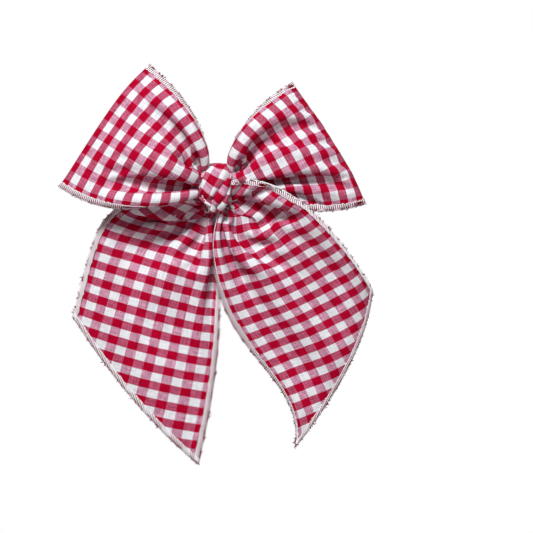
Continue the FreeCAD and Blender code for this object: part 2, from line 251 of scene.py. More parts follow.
def cut_edges(spec, count):
    """The strip's low and high edges, from the corners of its root to those of its end."""
    root, end = spec["root"], spec["end"]
    return [even([root[k], *spec[side], end[k]], count) for k, side in ((0, "low"), (-1, "high"))]


def loop_cloth(spec):
    """A loop: a front layer from the knot to the fold, and a back layer from the fold to the knot."""
    columns = strip_columns()
    t = np.linspace(0, 1, columns)
    rows = rows_for(spec["length"][1])
    root, end = even(spec["root"], columns), even(spec["end"], columns)
    middle = coons(root, end, *cut_edges(spec, rows + 1))
    s = np.linspace(0, 1, rows + 1)[:, None]
    # The layers part along the strip and meet in a round fold. Pleats fade towards the fold and the knot.
    spread = 1 - spec["flat_low"] * (1 - smooth(t / 0.35))[None]
    fold = np.tanh(FOLD_ROUNDNESS * (1 - s)) / math.tanh(FOLD_ROUNDNESS)
    apart = spec["opening"] * (0.35 + 0.65 * smooth(s / 0.5)) * fold * spread
    front, back = middle.copy(), middle.copy()
    front[..., 1] -= apart
    back[..., 1] += apart
    far = lengths(spec["length"], t)
    flat = np.stack([(1 - s) * far[None], np.broadcast_to(t * STRIP_WIDTH, (rows + 1, columns))], 2)
    fade = smooth((1 - s) / 0.35) * (0.35 + 0.65 * smooth(s / 0.22))
    front[..., 1] += fold_depth(middle, flat, spec["pleats"]) * fade
    back[..., 1] -= 0.6 * fold_depth(middle, flat, BACK_PLEATS) * fade
    back_flat = flat * np.array([-1, 1])
    start = np.concatenate([front, back[::-1][1:]])
    flat = np.concatenate([flat, back_flat[::-1][1:]])
    whole = np.concatenate([middle, middle[::-1][1:]])
    total = len(start)
    side = np.linspace(1, -1, total)[:, None] * np.ones((1, columns))
    clear = LAYER_CLEAR * smooth(np.abs(side) / 0.12)
    nearest = np.where(side >= 0, whole[..., 1] - spec["bulge"] * spread, whole[..., 1] + clear)
    nearest = np.maximum(nearest, ROOT_FRONT - ROOT_FLARE * (1 - np.abs(side)))
    farthest = np.where(side >= 0, whole[..., 1] - clear, whole[..., 1] + spec["back_bulge"])
    grip = np.zeros((total, columns))
    grip[:, [0, -1]] = EDGE_GRIP
    grip[rows] = FOLD_GRIP
    grip[[0, -1]] = ROOT_GRIP
    push = np.where(side > 0, FRONT_PUSH, BACK_PUSH) * np.minimum(1, np.abs(side) / 0.2)
    return {
        "start": start,
        "flat": flat,
        "grip": grip,
        "nearest": nearest,
        "farthest": farthest,
        "push": push,
        "gather": 0.8 + 0.2 * smooth((1 - np.abs(side[:, 0])) / 0.15),
    }


def hollow_share(hollow, s, t):
    """How much of its depth a tail's hollow has at each point: a pocket that starts just below the knot."""
    across = smooth((t - hollow["low"]) / 0.14) * smooth((hollow["high"] - t) / 0.1)
    return across[None] * smooth((hollow["end"] - s) / (0.6 * hollow["end"])) * smooth(s / 0.06)


def tail_cloth(spec):
    """A tail: one layer from the knot to its slanted end."""
    columns = strip_columns()
    t = np.linspace(0, 1, columns)
    first, last = lengths(spec["first"], t), lengths(spec["last"], t)
    rows = rows_for((last - first).mean())
    root = resample(even(spec["root"], 200), np.interp(t, *zip(*spec["root_shares"])))
    base = coons(root, even(spec["end"], columns), *cut_edges(spec, rows + 1))
    s = np.linspace(0, 1, rows + 1)[:, None]
    across = np.broadcast_to(t * STRIP_WIDTH, (rows + 1, columns))
    flat = np.stack([(1 - s) * first[None] + s * last[None], across], 2)
    start = base.copy()
    start[..., 1] += fold_depth(base, flat, spec["pleats"]) * smooth((1 - s) / 0.4)
    grip = np.zeros((rows + 1, columns))
    grip[:, [0, -1]] = EDGE_GRIP
    grip[-1] = TIP_GRIP
    grip[0] = ROOT_GRIP
    hollow = hollow_share(spec["hollow"], s, t)
    depth = spec["hollow"]["depth"]
    start[..., 1] += depth * hollow
    reach = spec["bulge"] * (1 - 0.6 * s) * np.ones_like(grip)
    nearest = base[..., 1] - reach * (1 - hollow) + 0.6 * depth * hollow
    return {
        "start": start,
        "flat": flat,
        "grip": grip,
        "nearest": np.maximum(nearest, ROOT_FRONT - ROOT_FLARE * s),
        "farthest": np.minimum(base[..., 1] + reach, np.minimum(spec["back"] + TAIL_SLOPE * s, WALL)),
        "push": TAIL_PUSH + HOLLOW_PUSH * hollow,
        "gather": 0.45 + 0.55 * smooth(s[:, 0] / 0.25),
        "base": base,
    }


# Control points are (x, y, z). root: the border inside the knot. end: the one at the far end. low and high:
# the strip's cut edges between the corners of those two.
# length, or first and last: lengths along the strip, of a loop's layer or at a tail's root and end. Each is
# given at the low edge, the middle and the high edge.
# pleats: (share of the width, depth), where -1 is nearest the viewer. bulge: how far they may stand off.
# opening: half the gap between a loop's layers. flat_low: how far that gap closes along the low edge.
# back: how far back a tail may reach at the knot. root_shares: where shares of its width lie along its root.
# hollow: a pocket between two shares of a tail's width, down to a share of its length.
BACK_PLEATS = [(0, 0), (0.2, -0.8), (0.4, 0.8), (0.6, -0.8), (0.8, 0.8), (1, 0)]
LOOPS = {
    "left_loop": {
        "low": [(-30, -21, -8), (-55, -18, -17)],
        "high": [(-2.5, -21, 27), (-15, -18, 48)],
        "root": [(-8, -17, -3), (-8.5, -17.5, 2), (-8.5, -17.5, 7), (-6, -17, 11)],
        "end": [(-81.2, -12, 2), (-68, -13, 19), (-53, -13, 50), (-34.6, -12, 64.1)],
        "length": (73, 65, 63),
        "opening": 7,
        "flat_low": 0,
        "bulge": 15,
        "back_bulge": 9,
        "pleats": [(0, -0.2), (0.1, -0.5), (0.25, 1), (0.48, -1), (0.77, 1), (0.93, -0.8), (1, 0.2)],
    },
    "right_loop": {
        "low": [(28, -12, -6), (52, -10, -16)],
        "high": [(8, -17, 27), (19, -16, 44)],
        "root": [(8, -12, -3), (8.5, -12.5, 2), (8.5, -14, 7), (6.5, -14.5, 11)],
        "end": [(75.8, -9, -6.6), (70, -10, 11), (52.5, -11, 35), (38.8, -10, 54.5)],
        "length": (70, 62, 59),
        "opening": 5,
        "flat_low": 0.85,
        "bulge": 10,
        "back_bulge": 7,
        "pleats": [(0, -0.2), (0.12, -0.4), (0.28, 1), (0.5, -1), (0.72, 1), (0.92, -0.9), (1, 0.1)],
    },
}
TAILS = {
    "left_tail": {
        "low": [(-66, -10.5, 2), (-60.5, -4.5, -18)],
        "high": [(4, -8.5, -55), (1.5, -4.5, -95)],
        "root": [(-6.5, -11, -6), (-6, -11, -8.5), (-4, -10.5, -9.5), (-1, -10.5, -9)],
        "end": [(-74.5, -1.6, -64.5), (-56.5, -2.4, -93), (-36, -2.4, -119), (-9.6, -1.6, -141)],
        "first": (0, 24, 34),
        "last": (107, 136, 163),
        "bulge": 8,
        "back": -9.5,
        "root_shares": [(0, 0), (1, 1)],
        "hollow": {"low": 0.1, "high": 0.8, "end": 0.34, "depth": 3},
        "pleats": [(0, 0.2), (0.14, -0.7), (0.36, 1), (0.58, -1), (0.78, -0.5), (0.94, 0.7), (1, 0)],
    },
    "right_tail": {
        "low": [(-6, -17, -46), (-4, -9, -82), (47, -2, -92)],
        "high": [(34, -32, 9), (60, -22, -18)],
        "root": [(1, -17.5, -9), (4.5, -17, -9.5), (7, -3, -9), (9, -24, -1), (6.5, -20, 5)],
        "end": [(39.7, -1.6, -132.2), (55, -2.4, -113), (78, -2.4, -80), (79.5, -1.6, -51)],
        "first": (26, 18, 0),
        "last": (157, 131, 101),
        "bulge": 9,
        "back": -15,
        "root_shares": [(0, 0), (0.11, 0.2), (0.85, 0.5), (1, 1)],
        "hollow": {"low": 0.25, "high": 0.86, "end": 0.34, "depth": 5},
        "pleats": [(0, 0.4), (0.06, -0.9), (0.15, 0.9), (0.36, -0.2), (0.6, 0.8), (0.84, 0.8)]
        + [(0.93, -1.1), (1, -0.2)],
    },
}


# --- Meshes ---
def new_object(name, points, faces, maps, material):
    """A smooth mesh. Maps holds, by name, a pair of values for each corner of each face."""
    mesh = bpy.data.meshes.new(name)
    mesh.from_pydata((np.asarray(points) * MM).tolist(), [], faces)
    for title, values in maps.items():
        layer = mesh.uv_layers.new(name=title)
        layer.data.foreach_set("uv", np.asarray(values, np.float32).ravel())
    mesh.polygons.foreach_set("use_smooth", [True] * len(mesh.polygons))
    mesh.materials.append(material)
    mesh.update()
    obj = bpy.data.objects.new(name, mesh)
    bpy.context.scene.collection.objects.link(obj)
    return obj


def normals(grid):
    return unit(np.cross(np.gradient(grid, axis=0), np.gradient(grid, axis=1)))


def sheet(name, grid, flat, thickness, material, rim=None):
    """A closed sheet of even thickness, mapped by the strip's own lengths and the distance to a sewn edge."""
    n, m = grid.shape[:2]
    offset = normals(grid) * thickness / 2
    points = np.concatenate([(grid + offset).reshape(-1, 3), (grid - offset).reshape(-1, 3)])
    index = np.arange(n * m).reshape(n, m)
    quads = np.stack([index[:-1, :-1], index[1:, :-1], index[1:, 1:], index[:-1, 1:]], 2).reshape(-1, 4)
    outline = np.concatenate([index[:, 0], index[-1, 1:], index[-2::-1, -1], index[0, -2:0:-1]])
    after = np.roll(outline, -1)
    wall = np.stack([outline, outline + n * m, after + n * m, after], 1)
    faces = np.concatenate([quads, quads[:, ::-1] + n * m, wall])
    if rim is None:
        rim = np.full((n, m), STRIP_WIDTH)
    maps = {"Strip": flat, "Rim": np.stack([rim, rim], 2)}
    maps = {title: np.concatenate([v.reshape(-1, 2)] * 2)[faces.ravel()] for title, v in maps.items()}
    return new_object(name, points, faces.tolist(), maps, material)


def tube_faces(index):
    """The walls and two caps of a tube, from its rings of point numbers."""
    after = np.roll(index, -1, axis=1)
    walls = np.stack([index[:-1], index[1:], after[1:], after[:-1]], 2).reshape(-1, 4).tolist()
    return walls + [index[0][::-1].tolist(), index[-1].tolist()]


def tubes(name, paths, ups, radius, material, sides=6):
    """Round threads along paths, each an array of points with an up direction at each point."""
    points, faces, maps, start = [], [], [], 0
    angles = np.arange(sides) * math.tau / sides
    for path, up in zip(paths, ups):
        tangent = unit(np.gradient(path, axis=0))
        side = unit(np.cross(tangent, up))
        upright = np.cross(side, tangent)
        ring = side[:, None] * np.cos(angles)[:, None] + upright[:, None] * np.sin(angles)[:, None]
        reach = np.broadcast_to(np.asarray(radius, float), (len(path),))[:, None, None]
        points.append((path[:, None] + ring * reach).reshape(-1, 3))
        k = len(path)
        faces += tube_faces(np.arange(k * sides).reshape(k, sides) + start)
        length = run(path)
        u0, u1 = (np.broadcast_to(u[:, None], (k - 1, sides)) for u in (length[:-1], length[1:]))
        v0 = np.broadcast_to(np.arange(sides) / sides, (k - 1, sides))
        v1 = v0 + 1 / sides
        maps.append(np.stack([u0, v0, u1, v0, u1, v1, u0, v1], 2).reshape(-1, 2))
        maps += [np.tile([u, 0.0], (sides, 1)) for u in (0.0, length[-1])]
        start += k * sides
    return new_object(name, np.concatenate(points), faces, {"Strip": np.concatenate(maps)}, material)


# --- Overlock stitching ---
def is_red(length, size, first):
    """Whether a place lies in a red band. First is the middle of one red band, in band widths."""
    return np.abs((length / size + 1 - first) % 2 - 1) < 0.5


def border(grid, flat, side):
    """A panel's border: edge points, points one stitch width in, normals, whether its yarn ends are red."""
    if side == "end":
        grid, flat = np.swapaxes(grid, 0, 1)[:, ::-1], np.swapaxes(flat, 0, 1)[:, ::-1]
        red = is_red(flat[:, 0, 1], CHECK_ACROSS, 0.5)
    else:
        red = is_red(flat[:, 0, 0], CHECK_ALONG, 0.5)
    if side == "high":
        grid, flat = grid[:, ::-1], flat[:, ::-1]
    step = np.linalg.norm(flat[:, 1] - flat[:, 0], axis=1)
    place = STITCH_WIDTH / step
    whole = np.floor(place).astype(int)
    part = (place - whole)[:, None]
    rows = np.arange(len(grid))
    inner = grid[rows, whole] * (1 - part) + grid[rows, whole + 1] * part
    up = unit(np.cross(np.gradient(grid[:, 0], axis=0), inner - grid[:, 0]))
    return grid[:, 0], inner, up if side == "low" else -up, red.astype(float)


def overlock(name, edge, inner, up, material):
    """Looper threads: a bar across each face at every stitch, and two that twist along the edge."""
    count = max(2, round(run(edge)[-1] / STITCH_PITCH))

    def read(at):
        return (read_along(edge, values, at) for values in (edge, inner, up))

    # One stitch: when the thread is where, how far from the inner line to the edge, how high off the cloth.
    beat = np.array([0.0, 0.05, 0.1, 0.26, 0.31, 0.36, 0.68])
    reach = np.array([1.0, 0.5, 0.0, 0.0, 0.5, 1.0, 0.93])
    lift = np.array([0.7, 0.9, 0.7, 0.7, 0.9, 0.7, 0.6]) * THREAD
    rim, inside, normal = read(((np.arange(count)[:, None] + beat[None]) / count).ravel())
    jitter = 1 + 0.06 * np.repeat(RANDOM.standard_normal(count), len(beat))[:, None]
    reach = np.tile(reach, count)[:, None] * jitter
    lift = np.tile(lift, count)[:, None] + CLOTH / 2
    paths = [rim + (inside - rim) * reach + normal * lift * face for face in (1, -1)]
    ups = [normal, normal]
    at = np.linspace(0, 1, count * 4 + 1)
    rim, inside, normal = read(at)
    out = unit(rim - inside)
    angle = np.arange(len(at)) * math.pi / 2
    for turn in (0.0, math.pi):
        sway = out * (0.1 + 0.12 * np.cos(angle + turn))[:, None]
        paths.append(rim + (sway + normal * (0.2 * np.sin(angle + turn))[:, None]))
        ups.append(normal)
    return tubes(name, paths, ups, THREAD, material, sides=5)


TUFT_RADII = np.array([0.17, 0.2, 0.2, 0.18, 0.13])  # from its root to its tip
TUFT_ROOT = 0.7  # how far inside the edge a frayed end starts


def tufts(name, edge, inner, up, red, material, density):
    """Short frayed yarn ends past a sewn edge, as many per millimetre as density, where it is mostly red."""
    at = np.sort(RANDOM.random(round(run(edge)[-1] * density)))
    at = at[read_along(edge, red[:, None], at)[:, 0] > 0.5]
    count = len(at)
    rim, inside, normal = (read_along(edge, values, at) for values in (edge, inner, up))
    out = unit(rim - inside)
    forward = np.cross(normal, out)
    reach = RANDOM.gamma(3.0, 0.11, count) + 0.35
    lean = RANDOM.normal(0, 0.5, count)
    rise = RANDOM.normal(0.1, 0.3, count)
    side = np.sign(RANDOM.random(count) - 0.3)
    paths, ups = [], []
    t = np.linspace(0, 1, 5)[:, None]
    for k in range(count):
        bend = lean[k] * t + 0.5 * lean[k] * t**2
        start = rim[k] - out[k] * TUFT_ROOT + normal[k] * side[k] * (CLOTH / 2 + 0.1)
        arch = normal[k] * side[k] * (0.4 * t * (1 - t) + rise[k] * t)
        paths.append(start + (reach[k] + 0.3) * (out[k] * t + forward[k] * bend) + arch)
        ups.append(np.broadcast_to(normal[k], (5, 3)))
    return tubes(name, paths, ups, TUFT_RADII, material, sides=4)


# --- The knot ---
KNOT_Y = -12.6
KNOT_HALF_WIDTH = 8.0
KNOT_HALF_DEPTH = 10.8
KNOT_HALF_HEIGHT = 12.0
KNOT_SQUARENESS = 2.6
KNOT_ROUNDING = 1.6
KNOT_TURN = math.radians(30)


def knot_section(x, angle, lift):
    """A point of the knot at x. Angle 0 is its top and a quarter turn its front. Lift raises it."""
    inset = KNOT_ROUNDING * np.minimum(1, np.abs(x) / KNOT_HALF_WIDTH) ** 4
    power = 2 / KNOT_SQUARENESS
    deep, high = np.sin(angle), np.cos(angle)
    front = np.sign(deep) * np.abs(deep) ** power
    top = np.sign(high) * np.abs(high) ** power
    y = KNOT_Y + inset / 2 - front * (KNOT_HALF_DEPTH - inset / 2 + lift)
    return np.stack([x + 0 * y, y, top * (KNOT_HALF_HEIGHT - inset + lift)], -1)


ARC_ANGLES = np.linspace(-math.pi, math.tau, 1201)
ARC_LENGTH = run(knot_section(0 * ARC_ANGLES, ARC_ANGLES, 0.0))
ARC_LENGTH -= np.interp(math.pi / 2, ARC_ANGLES, ARC_LENGTH)


def on_knot(x, height, lift):
    """A point by its x and its distance round the knot, upwards from the middle of the front."""
    return knot_section(x, np.interp(-height, ARC_LENGTH, ARC_ANGLES), lift)


RED_CHECK = (0.5 * CHECK_ALONG, 0.5 * CHECK_ACROSS)  # strip places of the middles of neighbouring checks
WHITE_CHECK = (-0.5 * CHECK_ALONG, 1.5 * CHECK_ACROSS)
ROSE_CHECK = (0.5 * CHECK_ALONG, 1.5 * CHECK_ACROSS)


def check_map(x, height, centre, turn, check, bend=0.0):
    """Strip lengths at points of the knot, where one check has its middle at centre and is turned."""
    dx, dh = x - centre[0], height - centre[1]
    along = math.sin(turn) * dx + math.cos(turn) * dh - bend * dx**2
    across = math.cos(turn) * dx - math.sin(turn) * dh
    return np.stack([along + check[0], 1.12 * across + check[1]], -1)


# The wrap's two edges, from the knot's back, under it, up its front and over its top to the back: (share, x).
BAND_LOW = [(-1, -7.9), (-0.7, -7.4), (-0.3, -4.6), (-0.08, -7.6), (0.2, -7.6), (0.5, -7.9), (1, -7.9)]
BAND_HIGH = [(-1, 7.9), (-0.7, 7.4), (-0.3, 3.4), (-0.08, 5.8), (0.15, 7.4), (0.5, 7.9), (1, 7.9)]
FRONT_CHECK = (-2.4, 4.1)  # x and height of the middle of the red check at the knot's upper left


def knot_band():
    """The wrap all the way round, wrinkled along its length and narrower below the front."""
    whole = np.diff(np.interp([-0.5 * math.pi, 1.5 * math.pi], ARC_ANGLES, ARC_LENGTH))[0]
    heights = np.linspace(-whole / 2, whole / 2, 145)
    low = profile(BAND_LOW, heights * 2 / whole)
    high = profile(BAND_HIGH, heights * 2 / whole)
    share = np.linspace(0, 1, 41)[None]
    x = low[:, None] * (1 - share) + high[:, None] * share
    height = np.broadcast_to(heights[:, None], x.shape)
    creases = np.cos(x * 1.7 + 0.06 * height) + 0.7 * np.cos(x * 2.9 - 0.09 * height + 1.0)
    hem = 0.5 * smooth((np.abs(2 * share - 1) - 0.85) / 0.15)
    strip_map = check_map(x, height, FRONT_CHECK, KNOT_TURN, RED_CHECK)
    return on_knot(x, height, -0.5 + 0.22 * creases - hem), strip_map


def knot_front():
    """The part of the wrap that crosses the front, from over the top down to its tucked lower edge."""
    count = 45

    def line(*points):
        return even([(x, h, 0) for x, h in points], count)

    top = line((-4.5, 21), (0, 21), (4, 21), (7.9, 21))
    left = line((-4.5, 21), (-5, 14), (-7.6, 9.5), (-9.6, 5), (-9.9, -1))
    right = line((7.9, 21), (8.6, 12), (8.2, 3.5), (2.5, 1.5), (-1.6, -4), (-3.4, -8.4))
    bottom = line((-9.9, -1), (-10.3, -4.2), (-6.5, -6), (-3.4, -8.4))
    flat = coons(top, bottom, left, right)
    x, height = flat[..., 0], flat[..., 1]
    s, t = np.linspace(0, 1, count)[:, None], np.linspace(0, 1, count)[None]
    # A crowned middle, a right edge that tucks under a fold and a lower edge that sinks into the knot.
    crown = 1.5 * np.sin(math.pi * np.clip(0.1 + 0.8 * t, 0, 1)) ** 0.7
    under = smooth((t - 0.84) / 0.16) * smooth((s - 0.25) / 0.15)
    below = smooth((s - 0.8) / 0.2) ** 1.3
    ripple = 0.14 * np.cos(math.tau * (2.3 * t + 0.5 * s)) + 0.08 * np.cos(math.tau * (4.1 * t - 0.4 * s))
    lift = 0.25 + crown * (1 - 0.5 * below) + ripple - 1.5 * under - 1.9 * below
    return on_knot(x, height, lift), check_map(x, height, FRONT_CHECK, KNOT_TURN, RED_CHECK, bend=0.03)


FOLD_TURN = math.radians(118)  # how far a fold is rolled under on each side


def knot_fold(spine, widths, crown, lift, check, scale=1.0):
    """A narrow fold of the wrap: an arched ridge along a spine of (x, height) control points."""
    rows, columns = 49, 15
    line = even([(x, h, 0.0) for x, h in spine], rows)[:, :2]
    forward = np.gradient(line, axis=0)
    length = np.cumsum(np.linalg.norm(forward, axis=1))
    forward = unit(forward)
    side = np.stack([-forward[:, 1], forward[:, 0]], 1)
    half = profile(widths, np.linspace(0, 1, rows))
    turn = np.linspace(-1, 1, columns) * FOLD_TURN
    offset = np.sin(turn)[None] * half[:, None]
    rise = (np.cos(turn)[None] + 0.3) * (crown * half / half.max())[:, None]
    flat = line[:, None] + side[:, None] * offset[..., None]
    across = check[1] + scale * turn[None] * half[:, None]
    along = np.broadcast_to((check[0] - scale * length)[:, None], across.shape)
    return on_knot(flat[..., 0], flat[..., 1], rise + lift), np.stack([along, across], 2)


KNOT_FOLDS = {
    "upper": {
        "spine": [(6.6, 6), (4.9, 1), (1.8, -3.4), (-1.6, -6.6), (-2.8, -10.6)],
        "widths": [(0, 0.8), (0.25, 1.7), (0.6, 2.1), (1, 0.7)],
        "crown": 1.7,
        "lift": 0.35,
        "check": (5.4, 0.62 * CHECK_ACROSS),
    },
    "lower": {
        "spine": [(6.5, 2.4), (6.4, -3), (3.6, -8.8), (-3.6, -12.9)],
        "widths": [(0, 0.4), (0.3, 0.9), (0.6, 2), (0.85, 1.5), (1, 0.4)],
        "crown": 1.5,
        "lift": -0.1,
        "check": (9.7, ROSE_CHECK[1]),
    },
    "petal": {
        "spine": [(-2, -4.9), (-1, -8.4), (-2.2, -11), (-4, -12.9)],
        "widths": [(0, 0.25), (0.6, 1.35), (1, 0.3)],
        "crown": 0.9,
        "lift": 1,
        "check": (WHITE_CHECK[0] + 2.4, WHITE_CHECK[1]),
        "scale": 0.8,
    },
    "hem": {
        "spine": [(-9.4, 1.2), (-11.4, -3.6), (-7.6, -6.2), (-3, -8.6)],
        "widths": [(0, 0.3), (0.5, 0.6), (1, 0.35)],
        "crown": 0.8,
        "lift": -0.4,
        "check": (9.7, WHITE_CHECK[1]),
    },
}


# --- Materials ---
class Nodes:
    """Short names for building the nodes of a material, or of the world."""

    def __init__(self, name, world=False):
        self.owner = (bpy.data.worlds if world else bpy.data.materials).new(name)
        self.owner.use_nodes = True
        self.tree = self.owner.node_tree
        self.tree.nodes.clear()
        self.out = self.tree.nodes.new("ShaderNodeOutputWorld" if world else "ShaderNodeOutputMaterial")

    def add(self, kind, inputs=None, **settings):
        node = self.tree.nodes.new(kind)
        for key, value in settings.items():
            setattr(node, key, value)
        for key, value in (inputs or {}).items():
            self.feed(node.inputs[key], value)
        return node

    def feed(self, socket, value):
        if isinstance(value, bpy.types.NodeSocket):
            self.tree.links.new(value, socket)
        else:
            socket.default_value = value

    def math(self, operation, a, b=0.0, c=0.0):
        node = self.add("ShaderNodeMath", operation=operation)
        for socket, value in zip(node.inputs, (a, b, c)):
            self.feed(socket, value)
        return node.outputs[0]

    def times(self, a, b):
        return self.math("MULTIPLY", a, b)

    def plus(self, a, b):
        return self.math("ADD", a, b)

    def mix(self, factor, a, b, blend="MIX"):
        node = self.add("ShaderNodeMix", data_type="RGBA", blend_type=blend)
        self.feed(node.inputs["Factor"], factor)
        self.feed(node.inputs["A"], a)
        self.feed(node.inputs["B"], b)
        return node.outputs["Result"]

    def noise(self, vector, scale, detail=2.0, roughness=0.5):
        inputs = {"Scale": scale, "Detail": detail, "Roughness": roughness, "Vector": vector}
        return self.add("ShaderNodeTexNoise", inputs).outputs["Fac"]

    def strip(self):
        """The strip's own (along, across) lengths in millimetres."""
        return self.mapped("Strip")[:2]

    def mapped(self, name):
        node = self.add("ShaderNodeUVMap", uv_map=name)
        return self.add("ShaderNodeSeparateXYZ", {"Vector": node.outputs[0]}).outputs

    def span(self, value, low, high, to_low=0.0, to_high=1.0):
        """A value moved from one range to another and kept inside it."""
        inputs = {"Value": value, "From Min": low, "From Max": high, "To Min": to_low, "To Max": to_high}
        return self.add("ShaderNodeMapRange", inputs).outputs[0]

    def vector(self, x, y, z=0.0):
        return self.add("ShaderNodeCombineXYZ", {"X": x, "Y": y, "Z": z}).outputs[0]

    def finish(self, colour, roughness, normal=None, **inputs):
        shader = self.add("ShaderNodeBsdfPrincipled", {"Base Color": colour, "Roughness": roughness})
        if normal is not None:
            self.feed(shader.inputs["Normal"], normal)
        for key, value in inputs.items():
            self.feed(shader.inputs[key.replace("_", " ")], value)
        return self.surface(shader)

    def surface(self, shader):
        self.tree.links.new(shader.outputs[0], self.out.inputs["Surface"])
        return self.owner

    def bump(self, height, distance, strength=1.0):
        inputs = {"Height": height, "Distance": distance, "Strength": strength}
        return self.add("ShaderNodeBump", inputs).outputs[0]


def rgb(r, g, b):
    return (r, g, b, 1.0)


# Colours of the white, rose, mauve and red checks: lit where a yarn lies high in the weave, in painted shade
# where it lies low.
RAISED_LIT = [(0.86, 0.90, 0.92), (0.58, 0.15, 0.26), (0.74, 0.46, 0.58), (0.50, 0.001, 0.035)]
SUNKEN_SHADED = [(0.70, 0.76, 0.79), (0.32, 0.014, 0.05), (0.37, 0.10, 0.20), (0.33, 0.0, 0.015)]
ENDS, PICKS = 10.0, 9.0  # yarns in one check, across and along the strip


def gingham_material():
    """Plain weave in two yarn colours, with slubs, lit and shaded copies of each colour across the weave, and
    painted shade under the stitching.
    """
    m = Nodes("gingham")
    along, across = m.strip()

    def band(value, size):
        """1 inside the red bands, 0 inside the white ones, with a soft border."""
        phase = m.math("FRACT", m.math("DIVIDE", value, 2 * size))
        ramp = m.math("ABSOLUTE", m.math("SUBTRACT", phase, 0.5))
        return m.span(ramp, 0.262, 0.238)

    def checks(white, rose, mauve, red):
        return m.mix(column, m.mix(row, rgb(*white), rgb(*rose)), m.mix(row, rgb(*mauve), rgb(*red)))

    def stretched(x_scale, y_scale, seed, detail=3.0):
        place = m.vector(m.times(along, x_scale), m.times(across, y_scale), seed)
        return m.noise(place, 1.0, detail)

    shift = m.times(m.math("SUBTRACT", stretched(0.35, 0.35, 1.0), 0.5), 0.5)
    row = band(m.plus(m.plus(along, shift), 2.5 * CHECK_ALONG), CHECK_ALONG)
    column = band(m.plus(m.plus(across, shift), 0.5 * CHECK_ACROSS), CHECK_ACROSS)
    raised_lit, sunken_shaded = checks(*RAISED_LIT), checks(*SUNKEN_SHADED)
    warp = m.math("SINE", m.times(across, math.pi * ENDS / CHECK_ACROSS))
    weft = m.math("SINE", m.times(along, math.pi * PICKS / CHECK_ALONG))
    over = m.times(warp, weft)
    slubs = m.plus(stretched(2.6, 0.16, 2.0), stretched(0.16, 2.6, 3.0))
    uneven = m.times(m.math("SUBTRACT", slubs, 1.0), 3.2)
    # Where the weave lifts a yarn it takes the lit colours, where it dips the painted shade, shifted at
    # random by the slubs.
    tone = m.span(m.plus(over, uneven), -0.75, 0.75)
    colour = m.mix(tone, sunken_shaded, raised_lit)
    cloudy = m.span(stretched(0.05, 0.05, 4.0), 0.3, 0.7, 0.94, 1.05)
    shade = m.times(m.span(slubs, 0.6, 1.4, 0.82, 1.16), cloudy)
    colour = m.mix(1.0, colour, m.vector(shade, shade, shade), "MULTIPLY")
    # Painted shade under the overlock stitching: within about one stitch width of a sewn edge the cloth's
    # colour is multiplied by itself.
    rim = m.mapped("Rim")[0]
    sewn = m.span(rim, STITCH_WIDTH * 1.02, STITCH_WIDTH * 0.9)
    colour = m.mix(sewn, colour, colour, "MULTIPLY")
    height = m.plus(m.math("ABSOLUTE", over), m.times(slubs, 1.6))
    normal = m.bump(height, 0.00007, 0.8)
    return m.finish(colour, m.span(slubs, 0.6, 1.4, 0.78, 0.95), normal, Specular_IOR_Level=0.05)


def thread_material(name, dark, light, gloss=0.6):
    """Twisted thread, mapped by its own length and round its own girth."""
    m = Nodes(name)
    along, around = m.strip()
    twist = m.plus(m.times(along, 2.2), m.times(around, 2.0))
    ply = m.math("SINE", m.times(twist, math.tau))
    fluff = m.noise(m.vector(m.times(along, 1.4), m.times(around, 3.0)), 1.0, 3.0)
    colour = m.mix(m.span(fluff, 0.35, 0.65), rgb(*dark), rgb(*light))
    return m.finish(colour, gloss, m.bump(ply, 0.00004, 0.7), Sheen_Weight=0.1, Specular_IOR_Level=0.3)


def metal_material(name, colour, roughness, direction):
    """Plated or drawn metal: fine marks along one direction, dull patches and small scratches."""
    m = Nodes(name)
    place = m.add("ShaderNodeTexCoord").outputs["Object"]
    scaled = m.add("ShaderNodeMapping", {"Vector": place, "Scale": direction}).outputs[0]
    marks = m.noise(scaled, 1.0, 4.0, 0.6)
    patches = m.noise(place, 180.0, 3.0)
    grain = m.span(marks, 0.3, 0.7, roughness * 0.7, roughness * 1.4)
    rough = m.plus(grain, m.span(patches, 0.4, 0.7, 0.0, 0.1))
    tint = m.mix(m.span(patches, 0.35, 0.7, 0.0, 0.5), rgb(*colour), rgb(*(0.8 * c for c in colour)))
    return m.finish(tint, rough, m.bump(marks, 0.00001, 0.5), Metallic=1.0)


def glue_material():
    m = Nodes("glue")
    place = m.add("ShaderNodeTexCoord").outputs["Object"]
    strings = m.noise(place, 900.0, 3.0)
    clouds = m.noise(place, 300.0, 2.0)
    colour = m.mix(clouds, rgb(0.72, 0.66, 0.5), rgb(0.86, 0.83, 0.72))
    normal = m.bump(strings, 0.0001, 0.6)
    return m.finish(colour, 0.28, normal, Subsurface_Weight=0.5, Subsurface_Scale=0.002, Coat_Weight=0.2)


RIB_PITCH = 0.7


def ribbon_material():
    """Grosgrain: crosswise ribs, with painted shade on one flank of each, mapped by the ribbon's own lengths.
    """
    m = Nodes("grosgrain")
    along, across = m.strip()
    rib = m.math("SINE", m.times(along, math.tau / RIB_PITCH))
    yarn = m.math("SINE", m.times(across, math.tau / 0.25))
    fibre = m.noise(m.vector(m.times(along, 1.0), m.times(across, 5.0)), 1.0, 3.0)
    # Painted shade and light: each rib is coloured darker on one flank and lighter on the other.
    colour = m.mix(m.span(rib, -1.0, 0.4), rgb(0.55, 0.55, 0.58), rgb(0.86, 0.86, 0.88))
    colour = m.mix(m.span(fibre, 0.4, 0.7, 0.0, 0.25), colour, rgb(0.7, 0.7, 0.72))
    height = m.plus(m.times(yarn, 0.4), fibre)
    return m.finish(colour, 0.55, m.bump(height, 0.00003, 0.7), Sheen_Weight=0.2)


